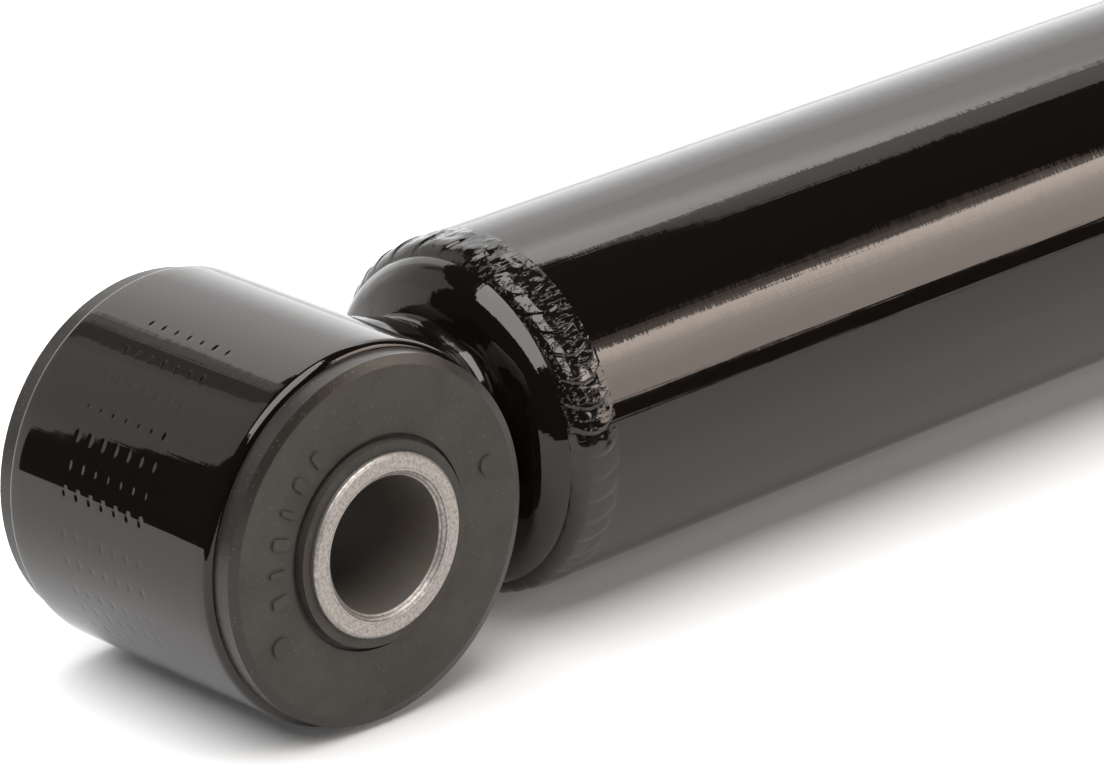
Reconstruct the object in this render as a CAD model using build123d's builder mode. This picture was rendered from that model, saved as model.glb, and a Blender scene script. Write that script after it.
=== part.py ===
"""Telescopic twin-tube shock absorber with a rubber-bushed eye at each end.

The absorber lies along X and is drawn fully extended, in millimetres. The origin is the centre of the
lower eye's bolt bore, X runs towards the upper eye, Y is the axis of both bolts and Z is up.
"""
import os
from math import asin, degrees, sqrt

from build123d import *

# Travel, and the room left at the ends of it
rod_travel = 175.0
bottom_clearance = 2.0
buffer_clearance = 0.3
dish_clearance = 3.0
cover_edge_clearance = 14.0

# Small clearances between pieces that fit together
bush_fit = 0.03
rod_fit = 0.03
seal_fit = 0.05
band_fit = 0.02
spigot_fit = 0.05
disc_guide_fit = 0.2
seat_gap = 0.05

# Bolt sleeves
bolt_bore = 20.0
sleeve_wall = 3.4
sleeve_length = 55.0
sleeve_mouth_chamfer = 0.9
sleeve_rim_chamfer = 0.4

# Eye rings
eye_diameter = 56.0
eye_wall = 4.0
eye_width = 44.0
eye_edge_radius = 1.8

# Rubber bushes
flange_diameter = 53.8
flange_thickness = 3.5
flange_bevel_drop = 0.6
flange_bevel_width = 1.5
collar_wall = 1.5
collar_height = 1.1
collar_groove_width = 0.8
collar_groove_depth = 0.6
mould_dot_radius = 1.4
mould_dot_height = 0.35
mould_dot_circle = 21.1
mould_dot_angles = (15, 208)

# Pressed caps: the reservoir's bottom cap and the dish that carries the dust cover
crown_gap = 0.2
corner_radius = 6.0
cap_crown_radius = 50.0
cap_wall = 3.0
cap_skirt = 6.0
dish_crown_radius = 45.0
dish_wall = 2.5
dish_skirt = 6.0

# Reservoir tube, and the rim rolled over its closing plate
reservoir_diameter = 54.0
reservoir_wall = 2.0
rim_reach = 4.5
rim_corner_radius = 2.6

# Weld beads
seam_cap_leg = 1.5
seam_tube_leg = 6.0
seam_root = 1.5
seam_feather = 1.3
seam_crown = 1.0
neck_bead_toe = 20.4
neck_bead_waist = 18.2
neck_bead_lip = 19.6
neck_bead_root = 12.0
cover_bead_leg = 2.2
rod_bead_leg = 3.0

# Dust cover
cover_gap = 2.5
cover_wall = 1.5

# Pressure tube
cylinder_bore = 35.0
cylinder_wall = 1.5

# Base valve
foot_diameter = 27.0
foot_wall = 2.0
foot_height = 8.0
foot_slot_width = 7.0
foot_slot_height = 6.0
foot_slots = 4
base_flange_thickness = 5.0
base_spigot_length = 4.0
intake_ring_radius = 15.1
intake_hole_radius = 1.2
intake_holes = 8
bleed_ring_radius = 8.5
bleed_hole_radius = 1.1
bleed_holes = 6
gallery_width = 2.9
gallery_depth = 0.8
base_pin_radius = 3.0
base_pin_head_radius = 5.0
base_pin_head_thickness = 3.0
base_pin_rivet_radius = 4.4
base_pin_rivet_thickness = 1.0
shim_thickness = 0.5
shim_radii = (10.6, 9.4, 7.8, 6.2)

# Spring-loaded check discs, above the base valve and above the piston
check_thickness = 1.0
check_window_radius = 1.7
check_lift = 1.2
star_thickness = 0.4
star_fingers = 6
star_slot_width = 3.2
star_reach = 3.8
seat_collar_wall = 2.0
seat_flange_radius = 10.5
seat_flange_thickness = 1.6

# Piston
piston_length = 13.0
piston_side_gap = 0.3
band_length = 8.0
band_thickness = 1.4
piston_outer_ring_radius = 14.0
piston_outer_hole_radius = 1.3
piston_inner_ring_radius = 9.2
piston_inner_hole_radius = 1.2
piston_holes = 6

# Piston nut, and the coil spring that closes the rebound valve
thread_tail = 1.0
nut_width = 19.0
nut_thickness = 3.5
nut_flange_radius = 12.4
nut_flange_thickness = 1.5
nut_barrel_wall = 2.0
rebound_shim_radius = 11.5
rebound_shims = 3
spring_cup_thickness = 1.2
spring_cup_lip = 1.0
spring_wire = 1.6
spring_mean_radius = 9.6
spring_turns = 3.0
spring_length = 8.5

# Rod, and the rebound stop on it
rod_diameter = 15.0
rod_spigot_radius = 5.0
rod_chamfer = 0.8
stop_offset = 2.0
stop_thickness = 3.0
stop_radius = 12.5
buffer_length = 6.0
buffer_radius = 13.5
buffer_waist = 1.2

# Rod guide, seal and closing plate
guide_spigot_length = 6.0
guide_flange_thickness = 12.0
bush_wall = 1.5
bush_length = 10.0
seal_radius = 16.0
seal_height = 6.5
seal_lip_depth = 1.3
seal_lip_ramp = 0.8
seal_back_radius = 10.3
seal_recess_radius = 13.0
seal_recess_depth = 3.5
garter_wire_radius = 0.7
o_ring_section = 2.6
closing_plate_thickness = 3.0
wiper_wall = 2.6

# Radii that follow from the sizes above
eye_radius = eye_diameter / 2
eye_bore_radius = eye_radius - eye_wall
sleeve_radius = bolt_bore / 2 + sleeve_wall
tube_radius = reservoir_diameter / 2
tube_bore_radius = tube_radius - reservoir_wall
cover_bore_radius = tube_radius + cover_gap
cover_radius = cover_bore_radius + cover_wall
bore_radius = cylinder_bore / 2
cylinder_radius = bore_radius + cylinder_wall
rod_radius = rod_diameter / 2
bush_radius = rod_radius + rod_fit + bush_wall
foot_radius = foot_diameter / 2


def crown_rise(crown, radius):
    """How far a dome of this crown radius has fallen back from its top, this far from its axis."""
    return crown - sqrt(crown**2 - radius**2)


def shoulder_depth(crown, corner, radius):
    """Distance along the axis from a pressed cap's top to the start of its straight skirt."""
    return crown - sqrt((crown - corner) ** 2 - (radius - corner) ** 2)


# Places along X, from the lower eye upwards
cap_top = eye_radius + crown_gap
cap_shoulder = cap_top + shoulder_depth(cap_crown_radius, corner_radius, tube_bore_radius)
cap_rim = cap_shoulder + cap_skirt
seam_end = cap_shoulder + seam_tube_leg
foot_start = cap_top + cap_wall + crown_rise(cap_crown_radius - cap_wall, foot_radius) + seat_gap
base_plate_start = foot_start + foot_height
cylinder_start = base_plate_start + base_flange_thickness
base_top = cylinder_start + base_spigot_length
check_height = seat_gap + check_thickness + check_lift + 2 * star_thickness + seat_gap
base_seat_top = base_top + check_height + seat_flange_thickness
base_valve_end = base_seat_top + base_pin_rivet_thickness

rod_tip = base_valve_end + bottom_clearance + rod_travel
nut_start = rod_tip + thread_tail
nut_flange_top = nut_start + nut_thickness + nut_flange_thickness
cup_start = nut_flange_top + spring_length
rebound_shim_start = cup_start + spring_cup_thickness
piston_start = rebound_shim_start + rebound_shims * shim_thickness + seat_gap
piston_top = piston_start + piston_length
rod_shoulder = piston_top + check_height + seat_flange_thickness
stop_start = rod_shoulder + stop_offset
buffer_start = stop_start + stop_thickness
buffer_end = buffer_start + buffer_length

guide_start = buffer_end + buffer_clearance
cylinder_end = guide_start + guide_spigot_length
guide_top = cylinder_end + guide_flange_thickness
seal_start = guide_top - seal_height
closing_plate_top = guide_top + closing_plate_thickness
tube_end = closing_plate_top + reservoir_wall

dish_depth = shoulder_depth(dish_crown_radius, corner_radius, cover_bore_radius) + dish_skirt
dish_rim = tube_end + dish_clearance + rod_travel
dish_shoulder = dish_rim + dish_skirt
dish_top = dish_rim + dish_depth
upper_eye = dish_top + crown_gap + eye_radius
cover_start = seam_end + cover_edge_clearance + rod_travel

along_x = Plane((0, 0, 0), x_dir=(1, 0, 0), z_dir=(0, 0, 1))
cap_plane = Plane((cap_top, 0, 0), x_dir=(1, 0, 0), z_dir=(0, 0, 1))
dish_plane = Plane((dish_top, 0, 0), x_dir=(-1, 0, 0), z_dir=(0, 0, -1))

pieces = {}


def keep(name, part):
    """Labels a finished piece and keeps it for writing."""
    part.label = name
    pieces[name] = part


def turned(*points):
    """A body turned about the absorber's axis from (along, radius) points of its half section."""
    with BuildPart() as body:
        with BuildSketch(along_x):
            with BuildLine():
                Polyline(*points, close=True)
            make_face()
        revolve(axis=Axis.X)
    return body.part


def tube(start, end, inner, outer):
    """A plain round tube or ring along the absorber's axis."""
    return turned((start, inner), (end, inner), (end, outer), (start, outer))


def round_ring(centre_x, ring_radius, section_radius):
    """A ring of round section about the absorber's axis."""
    with BuildPart() as ring:
        with BuildSketch(along_x):
            with Locations((centre_x, ring_radius)):
                Circle(section_radius)
        revolve(axis=Axis.X)
    return ring.part


def drill_ring(count, ring_radius, hole_radius, start, end):
    """Drills a ring of holes along X through the piece being built."""
    with Locations(Plane.YZ.offset(start)):
        with PolarLocations(ring_radius, count):
            Cylinder(
                hole_radius, end - start,
                align=(Align.CENTER, Align.CENTER, Align.MIN), mode=Mode.SUBTRACT,
            )


def pressed_block(plane, crown, corner, radius, depth):
    """A solid dome with a rounded corner and a straight skirt, its top at the plane's origin."""
    shoulder = shoulder_depth(crown, corner, radius)
    turn = degrees(asin((radius - corner) / (crown - corner)))
    with BuildPart() as block:
        with BuildSketch(plane):
            with BuildLine():
                dome = CenterArc((crown, 0), crown, 180, -turn)
                bend = CenterArc((shoulder, radius - corner), corner, 180 - turn, turn - 90)
                Polyline(bend @ 1, (depth, radius), (depth, 0), dome @ 0)
            make_face()
        revolve(axis=Axis(plane.origin, plane.x_dir))
    return block.part


def pressed_cap(plane, crown, radius, wall, depth):
    """A cap pressed from sheet: one block hollowed by another, a wall's thickness inside it."""
    with BuildPart() as cap:
        add(pressed_block(plane, crown, corner_radius, radius, depth))
        inside = Plane(plane.origin + plane.x_dir * wall, x_dir=plane.x_dir, z_dir=plane.z_dir)
        add(
            pressed_block(inside, crown - wall, corner_radius - wall, radius - wall, depth),
            mode=Mode.SUBTRACT,
        )
    return cap.part


def eye_ring(centre):
    """The rolled ring of an eye, with its outer edges rounded."""
    with BuildPart() as ring:
        with BuildSketch(Plane.XZ):
            with Locations((centre, 0)):
                Circle(eye_radius)
                Circle(eye_bore_radius, mode=Mode.SUBTRACT)
        extrude(amount=eye_width / 2, both=True)
        rims = ring.edges().filter_by(GeomType.CIRCLE).group_by(SortBy.RADIUS)
        fillet(rims[-1], eye_edge_radius)
    return ring.part


def bush_rubber(centre):
    """A rubber bush: body in the ring, a flange over each end of it and a collar round the sleeve."""
    bore = sleeve_radius + bush_fit
    flange = flange_diameter / 2
    collar = bore + collar_wall
    inner_face = eye_width / 2
    face = inner_face + flange_thickness
    half = [
        (bore, face + collar_height),
        (collar, face + collar_height),
        (collar, face - collar_groove_depth),
        (collar + collar_groove_width, face - collar_groove_depth),
        (collar + collar_groove_width, face),
        (flange - flange_bevel_width, face),
        (flange, face - flange_bevel_drop),
        (flange, inner_face),
        (eye_bore_radius, inner_face),
    ]
    with BuildPart() as rubber:
        with BuildSketch(Plane.XY.shift_origin((centre, 0, 0))):
            with BuildLine():
                Polyline(*half, *[(radius, -along) for radius, along in reversed(half)], close=True)
            make_face()
        revolve(axis=Axis((centre, 0, 0), (0, 1, 0)))
        with Locations(Plane((centre, -face, 0), x_dir=(1, 0, 0), z_dir=(0, -1, 0))):
            for angle in mould_dot_angles:
                with PolarLocations(mould_dot_circle, 1, start_angle=angle):
                    Cylinder(
                        mould_dot_radius, mould_dot_height,
                        align=(Align.CENTER, Align.CENTER, Align.MIN),
                    )
    return rubber.part


def bolt_sleeve(centre):
    """The steel sleeve that the bolt passes through, chamfered at its mouths and rims."""
    with BuildPart() as sleeve:
        with BuildSketch(Plane.XZ):
            with Locations((centre, 0)):
                Circle(sleeve_radius)
                Circle(bolt_bore / 2, mode=Mode.SUBTRACT)
        extrude(amount=sleeve_length / 2, both=True)
        rims = sleeve.edges().filter_by(GeomType.CIRCLE).group_by(SortBy.RADIUS)
        chamfer(rims[0], sleeve_mouth_chamfer)
        chamfer(rims[-1], sleeve_rim_chamfer)
    return sleeve.part


def neck_welds(plane, crown, radius, depth):
    """The waisted bead that runs round between an eye ring and the pressed cap beside it."""
    ring_centre = -(crown_gap + eye_radius)
    lip = ring_centre + sqrt(eye_radius**2 - neck_bead_lip**2)
    toe = crown_rise(crown, neck_bead_toe)
    with BuildPart() as bead:
        with BuildSketch(plane):
            with BuildLine():
                waist = ThreePointArc(
                    (toe, neck_bead_toe), ((lip + toe) / 2, neck_bead_waist), (lip, neck_bead_lip),
                )
                Polyline(waist @ 1, (lip, neck_bead_root), (toe, neck_bead_root), waist @ 0)
            make_face()
        revolve(axis=Axis(plane.origin, plane.x_dir))
        with Locations(plane * Pos(ring_centre, 0, 0) * Rot(90, 0, 0)):
            Cylinder(eye_radius, eye_width, mode=Mode.SUBTRACT)
        add(pressed_block(plane, crown, corner_radius, radius, depth), mode=Mode.SUBTRACT)
    return bead.part


def check_disc(start, guide, window_ring, windows, radius):
    """A flat check disc, with windows over the inner ring of holes below it."""
    with BuildPart() as disc:
        add(tube(start, start + check_thickness, guide + disc_guide_fit, radius))
        drill_ring(windows, window_ring, check_window_radius, start, start + check_thickness)
    return disc.part


def spring_seat(start, bore, guide):
    """The stepped collar that guides a check disc and holds its star spring down."""
    end = start + check_height
    top = end + seat_flange_thickness
    return turned(
        (start, bore), (top, bore), (top, seat_flange_radius), (end, seat_flange_radius),
        (end, guide), (start, guide),
    )


def star_spring(start, guide):
    """A thin sprung washer whose fingers press a check disc on to its seat."""
    low = start + seat_gap + check_thickness
    high = start + check_height - star_thickness - seat_gap
    inner = guide + disc_guide_fit
    root = seat_flange_radius
    tip = root + star_reach
    with BuildPart() as star:
        add(
            turned(
                (high, inner), (high, root), (low, tip), (low + star_thickness, tip),
                (high + star_thickness, root), (high + star_thickness, inner),
            )
        )
        with Locations(Plane.YZ.offset(low)):
            with PolarLocations(tip, star_fingers):
                Box(
                    2 * star_reach, star_slot_width, 2 * check_height,
                    mode=Mode.SUBTRACT,
                )
    return star.part


# Eyes, one at each end
for end, centre in (("lower", 0.0), ("upper", upper_eye)):
    keep(f"{end}_eye_ring", eye_ring(centre))
    keep(f"{end}_bush_rubber", bush_rubber(centre))
    keep(f"{end}_sleeve", bolt_sleeve(centre))

# Reservoir: bottom cap, its neck welds and the seam that closes it to the tube
cap_depth = cap_rim - cap_top
keep(
    "bottom_cap",
    pressed_cap(cap_plane, cap_crown_radius, tube_bore_radius, cap_wall, cap_depth),
)
keep(
    "lower_neck_welds",
    neck_welds(cap_plane, cap_crown_radius, tube_bore_radius, cap_depth),
)

# The tube starts in a weld bevel, under the seam
tube_start = cap_shoulder + seam_root
bevel_end = seam_end - seam_feather
with BuildPart() as reservoir_tube:
    with BuildSketch(along_x):
        with BuildLine():
            outer = Line((bevel_end, tube_radius), (tube_end - rim_corner_radius, tube_radius))
            bend = RadiusArc(outer @ 1, (tube_end, tube_radius - rim_corner_radius), rim_corner_radius)
            Polyline(
                bend @ 1,
                (tube_end, tube_bore_radius - rim_reach),
                (closing_plate_top, tube_bore_radius - rim_reach),
                (closing_plate_top, tube_bore_radius),
                (tube_start, tube_bore_radius),
                outer @ 0,
            )
        make_face()
    revolve(axis=Axis.X)
keep("reservoir_tube", reservoir_tube.part)

seam_start = cap_shoulder - seam_cap_leg
toe_radius = tube_bore_radius - corner_radius + sqrt(corner_radius**2 - seam_cap_leg**2)
toe = Vector(seam_start, toe_radius)
chord = Vector(seam_end, tube_radius) - toe
seam_top = toe + chord / 2 + chord.normalized().rotate(Axis.Z, 90) * seam_crown
with BuildPart() as cap_seam:
    with BuildSketch(along_x):
        with BuildLine():
            crest = ThreePointArc(toe, seam_top, (seam_end, tube_radius))
            Polyline(
                crest @ 1, (bevel_end, tube_radius), (tube_start, tube_bore_radius),
                (cap_shoulder, tube_bore_radius), crest @ 0,
            )
        make_face()
    revolve(axis=Axis.X)
    add(
        pressed_block(cap_plane, cap_crown_radius, corner_radius, tube_bore_radius, cap_depth),
        mode=Mode.SUBTRACT,
    )
keep("bottom_cap_seam", cap_seam.part)
keep("pressure_tube", tube(cylinder_start, cylinder_end, bore_radius, cylinder_radius))

# Base valve, standing on the cap inside the pressure tube's lower end
guide_collar = base_pin_radius + seat_collar_wall
with BuildPart() as base_valve_body:
    add(
        turned(
            (base_plate_start, base_pin_radius), (base_top, base_pin_radius),
            (base_top, bore_radius - spigot_fit), (cylinder_start, bore_radius - spigot_fit),
            (cylinder_start, cylinder_radius), (base_plate_start, cylinder_radius),
        )
    )
    add(tube(foot_start, base_plate_start, foot_radius - foot_wall, foot_radius))
    with Locations(Plane.YZ.offset(foot_start)):
        with PolarLocations(foot_radius, foot_slots):
            Box(
                4 * foot_wall, foot_slot_width, foot_slot_height,
                align=(Align.CENTER, Align.CENTER, Align.MIN), mode=Mode.SUBTRACT,
            )
    drill_ring(intake_holes, intake_ring_radius, intake_hole_radius, base_plate_start, base_top)
    drill_ring(bleed_holes, bleed_ring_radius, bleed_hole_radius, base_plate_start, base_top)
    add(
        tube(
            base_top - gallery_depth, base_top,
            intake_ring_radius - gallery_width / 2, intake_ring_radius + gallery_width / 2,
        ),
        mode=Mode.SUBTRACT,
    )
keep("base_valve_body", base_valve_body.part)

with BuildPart() as compression_shims:
    for row, radius in enumerate(shim_radii):
        top = base_plate_start - row * shim_thickness
        add(tube(top - shim_thickness, top, base_pin_radius, radius))
keep("compression_shims", compression_shims.part)

pin_head_top = base_plate_start - len(shim_radii) * shim_thickness
keep(
    "base_valve_pin",
    turned(
        (pin_head_top - base_pin_head_thickness, 0),
        (pin_head_top - base_pin_head_thickness, base_pin_head_radius),
        (pin_head_top, base_pin_head_radius), (pin_head_top, base_pin_radius),
        (base_seat_top, base_pin_radius), (base_seat_top, base_pin_rivet_radius),
        (base_valve_end, base_pin_radius), (base_valve_end, 0),
    ),
)
keep("base_valve_spring_seat", spring_seat(base_top, base_pin_radius, guide_collar))
intake_disc_radius = intake_ring_radius + gallery_width / 2 + seat_gap
keep(
    "intake_check_disc",
    check_disc(base_top + seat_gap, guide_collar, bleed_ring_radius, bleed_holes, intake_disc_radius),
)
keep("intake_star_spring", star_spring(base_top, guide_collar))

# Piston, its sealing band and its valves
piston_radius = bore_radius - piston_side_gap
band_start = piston_start + (piston_length - band_length) / 2
groove_radius = bore_radius - band_fit - band_thickness
with BuildPart() as piston_body:
    add(tube(piston_start, piston_top, rod_spigot_radius, piston_radius))
    add(tube(band_start, band_start + band_length, groove_radius, bore_radius), mode=Mode.SUBTRACT)
    for ring_radius, hole_radius in (
        (piston_outer_ring_radius, piston_outer_hole_radius),
        (piston_inner_ring_radius, piston_inner_hole_radius),
    ):
        drill_ring(piston_holes, ring_radius, hole_radius, piston_start, piston_top)
    add(
        tube(
            piston_top - gallery_depth, piston_top,
            piston_outer_ring_radius - gallery_width / 2, piston_outer_ring_radius + gallery_width / 2,
        ),
        mode=Mode.SUBTRACT,
    )
    add(
        tube(
            piston_start, piston_start + gallery_depth,
            piston_inner_ring_radius - gallery_width / 2, piston_inner_ring_radius + gallery_width / 2,
        ),
        mode=Mode.SUBTRACT,
    )
keep("piston_body", piston_body.part)
keep(
    "piston_band",
    tube(
        band_start + seat_gap, band_start + band_length - seat_gap,
        groove_radius + band_fit, bore_radius - band_fit,
    ),
)

piston_collar = rod_spigot_radius + seat_collar_wall
keep("piston_spring_seat", spring_seat(piston_top, rod_spigot_radius, piston_collar))
piston_disc_radius = piston_outer_ring_radius + gallery_width / 2 + seat_gap
keep(
    "piston_check_disc",
    check_disc(
        piston_top + seat_gap, piston_collar, piston_inner_ring_radius, piston_holes, piston_disc_radius,
    ),
)
keep("piston_star_spring", star_spring(piston_top, piston_collar))

nut_barrel_radius = rod_spigot_radius + nut_barrel_wall
with BuildPart() as piston_nut:
    with BuildSketch(Plane.YZ.offset(nut_start)):
        RegularPolygon(nut_width / 2, 6, major_radius=False)
    extrude(amount=nut_thickness)
    add(
        turned(
            (nut_start + nut_thickness, 0), (nut_start + nut_thickness, nut_flange_radius),
            (nut_flange_top, nut_flange_radius), (nut_flange_top, nut_barrel_radius),
            (piston_start, nut_barrel_radius), (piston_start, 0),
        )
    )
    with Locations(Plane.YZ.offset(nut_start)):
        Cylinder(
            rod_spigot_radius, piston_start - nut_start,
            align=(Align.CENTER, Align.CENTER, Align.MIN), mode=Mode.SUBTRACT,
        )
keep("piston_nut", piston_nut.part)

shim_bore = nut_barrel_radius + disc_guide_fit
keep(
    "rebound_shims",
    tube(rebound_shim_start, piston_start - seat_gap, shim_bore, rebound_shim_radius),
)
cup_lip_bore = spring_mean_radius + spring_wire / 2 + disc_guide_fit
keep(
    "rebound_spring_cup",
    turned(
        (cup_start, shim_bore), (rebound_shim_start, shim_bore),
        (rebound_shim_start, cup_lip_bore + spring_cup_lip),
        (cup_start - spring_cup_lip, cup_lip_bore + spring_cup_lip),
        (cup_start - spring_cup_lip, cup_lip_bore), (cup_start, cup_lip_bore),
    ),
)

coil_height = spring_length - spring_wire
with BuildPart() as rebound_spring:
    with BuildLine():
        coil = Helix(
            coil_height / spring_turns, coil_height, spring_mean_radius,
            center=(nut_flange_top + spring_wire / 2, 0, 0), direction=(1, 0, 0),
        )
    with BuildSketch(Plane(coil @ 0, x_dir=(1, 0, 0), z_dir=coil % 0)):
        Rectangle(spring_wire, spring_wire)
    sweep(is_frenet=True)
keep("rebound_spring", rebound_spring.part)

# Piston rod, from its threaded tail to the upper eye, and the stop for full extension
rod_end = dish_top - crown_rise(dish_crown_radius, rod_radius)
keep(
    "piston_rod",
    turned(
        (rod_tip, 0), (rod_tip, rod_spigot_radius - rod_chamfer),
        (rod_tip + rod_chamfer, rod_spigot_radius), (rod_shoulder, rod_spigot_radius),
        (rod_shoulder, rod_radius), (rod_end, rod_radius), (rod_end, 0),
    ),
)
keep("rebound_stop_ring", tube(stop_start, buffer_start, rod_radius, stop_radius))
keep(
    "rebound_buffer",
    turned(
        (buffer_start, rod_radius), (buffer_start, buffer_radius),
        ((buffer_start + buffer_end) / 2, buffer_radius - buffer_waist),
        (buffer_end, buffer_radius), (buffer_end, rod_radius),
    ),
)

# Rod guide with its bush, seal and closing plate
with BuildPart() as rod_guide:
    add(
        turned(
            (guide_start, bush_radius), (guide_start, bore_radius - spigot_fit),
            (cylinder_end, bore_radius - spigot_fit), (cylinder_end, tube_bore_radius - spigot_fit),
            (guide_top - o_ring_section, tube_bore_radius - spigot_fit),
            (guide_top - o_ring_section, tube_bore_radius - o_ring_section),
            (guide_top, tube_bore_radius - o_ring_section), (guide_top, seal_radius),
            (seal_start, seal_radius), (seal_start, bush_radius),
        )
    )
keep("rod_guide", rod_guide.part)
keep(
    "guide_bush",
    tube(seal_start - bush_length, seal_start, rod_radius + rod_fit, bush_radius),
)

o_ring_radius = o_ring_section / 2
keep(
    "guide_o_ring",
    round_ring(guide_top - o_ring_radius, tube_bore_radius - o_ring_radius, o_ring_radius - seat_gap),
)

lip = rod_radius + seal_fit
lip_root = lip + seal_lip_depth
keep(
    "rod_seal",
    turned(
        (seal_start, seal_recess_radius), (seal_start, seal_radius), (guide_top, seal_radius),
        (guide_top, lip_root), (guide_top - seal_lip_ramp, lip), (guide_top - 2 * seal_lip_ramp, lip),
        (guide_top - 3 * seal_lip_ramp, lip_root), (seal_start + 3 * seal_lip_ramp, lip_root),
        (seal_start + 2 * seal_lip_ramp, lip), (seal_start + seal_lip_ramp, lip),
        (seal_start, lip_root), (seal_start, seal_back_radius),
        (seal_start + seal_recess_depth, seal_back_radius),
        (seal_start + seal_recess_depth, seal_recess_radius),
    ),
)
keep(
    "seal_garter_spring",
    round_ring(
        seal_start + seal_recess_depth / 2,
        seal_back_radius + garter_wire_radius + seat_gap,
        garter_wire_radius,
    ),
)
wiper_radius = lip + wiper_wall
keep(
    "closing_plate",
    tube(guide_top, closing_plate_top, wiper_radius, tube_bore_radius - spigot_fit),
)
keep(
    "rod_wiper",
    turned(
        (guide_top, lip_root), (guide_top, wiper_radius),
        (closing_plate_top, wiper_radius), (tube_end, lip_root),
        (tube_end, lip), (closing_plate_top, lip),
    ),
)

# Dish, dust cover and the welds that hold them to the rod and the upper eye
with BuildPart() as cover_dish:
    add(pressed_cap(dish_plane, dish_crown_radius, cover_bore_radius, dish_wall, dish_depth))
    with Locations(Plane.YZ.offset(dish_rim)):
        Cylinder(
            rod_radius, dish_depth,
            align=(Align.CENTER, Align.CENTER, Align.MIN), mode=Mode.SUBTRACT,
        )
keep("cover_dish", cover_dish.part)
keep(
    "upper_neck_welds",
    neck_welds(dish_plane, dish_crown_radius, cover_bore_radius, dish_depth),
)
keep("dust_cover", tube(cover_start, dish_shoulder, cover_bore_radius, cover_radius))

with BuildPart() as cover_seam:
    add(
        turned(
            (dish_shoulder, cover_bore_radius - cover_bead_leg), (dish_shoulder, cover_radius),
            (dish_shoulder + cover_bead_leg, cover_bore_radius - cover_bead_leg / 2),
        )
    )
    add(
        pressed_block(dish_plane, dish_crown_radius, corner_radius, cover_bore_radius, dish_depth),
        mode=Mode.SUBTRACT,
    )
keep("cover_seam", cover_seam.part)

with BuildPart() as rod_weld:
    weld_face = dish_top - dish_wall - crown_rise(dish_crown_radius - dish_wall, rod_radius + rod_bead_leg)
    add(
        turned(
            (weld_face - rod_bead_leg, rod_radius), (weld_face, rod_radius + rod_bead_leg),
            (dish_top, rod_radius + rod_bead_leg), (dish_top, rod_radius),
        )
    )
    add(
        pressed_block(dish_plane, dish_crown_radius, corner_radius, cover_bore_radius, dish_depth),
        mode=Mode.INTERSECT,
    )
    add(cover_dish.part, mode=Mode.SUBTRACT)
keep("rod_weld", rod_weld.part)

os.makedirs("parts", exist_ok=True)
for name, part in pieces.items():
    export_step(part, f"parts/{name}.step")

print(f"closed length {upper_eye - rod_travel:.1f} mm, extended length {upper_eye:.1f} mm")
print(f"cover from {cover_start:.1f}, tube end {tube_end:.1f}, seam end {seam_end:.1f}")
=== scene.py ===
"""Looks of the twin-tube shock absorber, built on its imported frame.

The pieces' lengths are in mm, which MM turns into metres. The studio's lengths are in metres."""

import math

import bmesh
import bpy
from mathutils import Matrix, Vector, noise


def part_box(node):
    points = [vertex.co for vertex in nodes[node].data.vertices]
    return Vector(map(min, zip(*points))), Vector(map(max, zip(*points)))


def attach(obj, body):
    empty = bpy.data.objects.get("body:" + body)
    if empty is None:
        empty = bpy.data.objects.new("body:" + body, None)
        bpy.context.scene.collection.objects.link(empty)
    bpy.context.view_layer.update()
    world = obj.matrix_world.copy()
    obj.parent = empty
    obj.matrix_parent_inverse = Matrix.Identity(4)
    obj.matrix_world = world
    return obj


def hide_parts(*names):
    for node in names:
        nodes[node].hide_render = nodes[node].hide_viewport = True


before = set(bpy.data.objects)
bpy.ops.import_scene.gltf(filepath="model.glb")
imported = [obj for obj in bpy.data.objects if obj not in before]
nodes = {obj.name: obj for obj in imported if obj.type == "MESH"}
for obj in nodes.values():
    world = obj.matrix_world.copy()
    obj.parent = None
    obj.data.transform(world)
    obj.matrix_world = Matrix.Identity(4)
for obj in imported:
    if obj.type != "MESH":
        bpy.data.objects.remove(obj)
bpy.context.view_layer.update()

MM = 0.001

# Sizes of the pieces that are made here, in mm, as the frame has them.
EYE_RADIUS = 28.0
EYE_BORE = 24.0
EYE_WIDTH = 44.0
EYE_EDGE = 1.2
FLANGE_THICKNESS = 3.5
BODY_OF_END = {"lower": "reservoir", "upper": "rod"}

eye_centres = {
    end: (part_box(end + "_sleeve")[0].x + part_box(end + "_sleeve")[1].x) / 2 / MM for end in BODY_OF_END
}


# Materials: first what makes and joins shader nodes, then the finishes.

def make_finish(name):
    """A new material with its shader, ready for its nodes."""
    finish = bpy.data.materials.new(name)
    finish.use_nodes = True
    return finish, finish.node_tree, finish.node_tree.nodes["Principled BSDF"]


def add(tree, kind, **settings):
    """A node whose settings are attributes, or inputs where their name is one."""
    node = tree.nodes.new(kind)
    for key, value in settings.items():
        if hasattr(node, key):
            setattr(node, key, value)
        else:
            node.inputs[key.replace("_", " ")].default_value = value
    return node


def mapped(tree, scale, centre=(0, 0, 0)):
    """The piece's own coordinates, counted from centre and scaled; 1 / size gives features of that size."""
    place = add(tree, "ShaderNodeTexCoord")
    move = add(tree, "ShaderNodeMapping", vector_type="POINT")
    move.inputs["Scale"].default_value = scale
    move.inputs["Location"].default_value = [-c * s for c, s in zip(centre, scale)]
    tree.links.new(place.outputs["Object"], move.inputs["Vector"])
    return move.outputs["Vector"]


def grain(tree, size, detail=3.0, rough=0.5):
    """Noise whose features have these sizes in mm along x, y and z."""
    texture = add(tree, "ShaderNodeTexNoise", Detail=detail, Roughness=rough, Scale=1.0)
    scale = [1 / (s * MM) for s in (size if hasattr(size, "__len__") else (size,) * 3)]
    tree.links.new(mapped(tree, scale), texture.inputs["Vector"])
    return texture.outputs["Fac"]


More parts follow.
